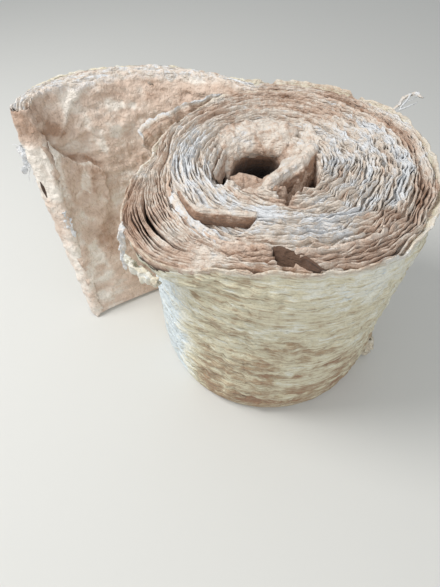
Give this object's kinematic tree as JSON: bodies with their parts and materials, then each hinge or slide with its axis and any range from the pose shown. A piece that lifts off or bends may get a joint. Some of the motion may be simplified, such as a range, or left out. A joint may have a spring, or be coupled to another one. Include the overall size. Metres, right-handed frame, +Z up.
{
  "type": "insulation roll",
  "caption": "Hand-wound roll of aged glass wool blanket, stood on one end, with a hollow middle and its outer end peeled loose at the side.",
  "frame": {"origin": "on the axis of the bore, at the base that the roll stands on", "axes": "+Z up along the bore, +Y away from the side the picture is taken from, and the loose end leaves towards -X"},
  "size_m": [0.91, 0.6958, 0.57],
  "materials": {
    "glass_wool": "matt, fibrous, aged cream and tan mineral wool in thin layers"
  },
  "bodies": {
    "root": {"blanket_roll": "glass_wool"}
  },
  "joints": []
}
